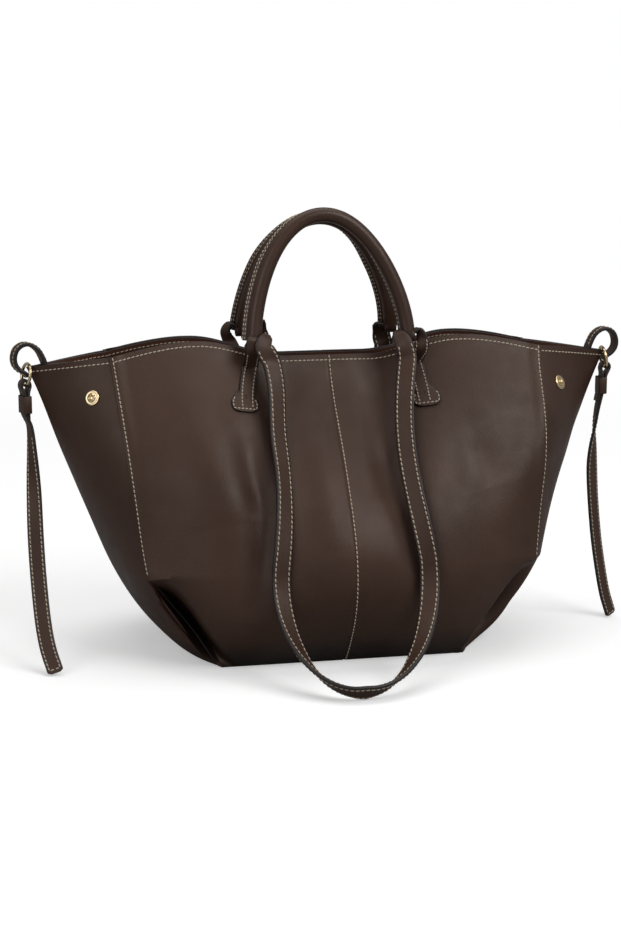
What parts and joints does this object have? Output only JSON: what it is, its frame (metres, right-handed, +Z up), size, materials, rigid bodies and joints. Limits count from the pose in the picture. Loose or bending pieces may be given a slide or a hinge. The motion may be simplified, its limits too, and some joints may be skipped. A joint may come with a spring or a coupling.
{
  "type": "trapeze bag",
  "caption": "Open-topped leather trapeze bag with folding side wings, rolled top handles, hanging shoulder straps and a cinching tie at each wing tip.",
  "frame": {"origin": "middle of the flat base, on the surface it stands on", "axes": "+X to the right along the width, -Y to the front, +Z up"},
  "size_m": [0.5189, 0.3846, 0.3612],
  "materials": {
    "leather": "satin",
    "leather_dark": "satin",
    "lining": "matte",
    "hardware": "polished",
    "board": "matte"
  },
  "bodies": {
    "bag": {"front_left_panel": "leather", "front_right_panel": "leather", "back_left_panel": "leather", "back_right_panel": "leather", "left_wing": "leather", "right_wing": "leather", "front_lining": "lining", "back_lining": "lining", "front_rim_facing": "leather_dark", "back_rim_facing": "leather_dark", "base_panel": "leather_dark", "base_board": "board", "base_lining": "lining", "front_left_tab": "leather", "front_right_tab": "leather", "back_left_tab": "leather", "back_right_tab": "leather", "left_hanging_loop": "leather_dark", "right_hanging_loop": "leather_dark", "snap_sockets": "hardware", "snap_studs": "hardware", "snap_caps": "hardware"},
    "front_handle": {"front_handle_cover": "leather", "front_handle_core": "board", "front_handle_eyes": "leather_dark"},
    "back_handle": {"back_handle_cover": "leather", "back_handle_core": "board", "back_handle_eyes": "leather_dark"},
    "front_strap": {"front_shoulder_strap": "leather"},
    "back_strap": {"back_shoulder_strap": "leather"},
    "left_ring": {"left_ring": "hardware"},
    "right_ring": {"right_ring": "hardware"},
    "left_tie": {"left_tie": "leather", "left_tie_keeper": "leather_dark"},
    "right_tie": {"right_tie": "leather", "right_tie_keeper": "leather_dark"}
  },
  "joints": [
    {"name": "front_handle_swing", "type": "hinge", "parent": "bag", "child": "front_handle", "pos_m": [0, -0.03, 0.258], "axis": [1, 0, 0], "range_deg": [0, 40]},
    {"name": "back_handle_swing", "type": "hinge", "parent": "bag", "child": "back_handle", "pos_m": [0, 0.03, 0.258], "axis": [-1, 0, 0], "range_deg": [0, 40]},
    {"name": "front_strap_swing", "type": "hinge", "parent": "bag", "child": "front_strap", "pos_m": [0, -0.03, 0.258], "axis": [-1, 0, 0], "range_deg": [0, 40]},
    {"name": "back_strap_swing", "type": "hinge", "parent": "bag", "child": "back_strap", "pos_m": [0, 0.03, 0.258], "axis": [1, 0, 0], "range_deg": [0, 40]},
    {"name": "left_ring_turn", "type": "hinge", "parent": "bag", "child": "left_ring", "pos_m": [-0.2445, 0, 0.2305], "axis": [-0.9366, -0.3043, 0.1736], "range_deg": [-10, 10]},
    {"name": "left_tie_swing", "type": "hinge", "parent": "left_ring", "child": "left_tie", "pos_m": [-0.24593, -0.00046, 0.22198], "axis": [-0.309, 0.9511, 0], "range_deg": [-3, 50]},
    {"name": "right_ring_turn", "type": "hinge", "parent": "bag", "child": "right_ring", "pos_m": [0.2445, 0, 0.2305], "axis": [0.9835, -0.0515, 0.1736], "range_deg": [-10, 10]},
    {"name": "right_tie_swing", "type": "hinge", "parent": "right_ring", "child": "right_tie", "pos_m": [0.246, -0.00008, 0.22198], "axis": [-0.0523, -0.9986, 0], "range_deg": [-3, 50]}
  ]
}
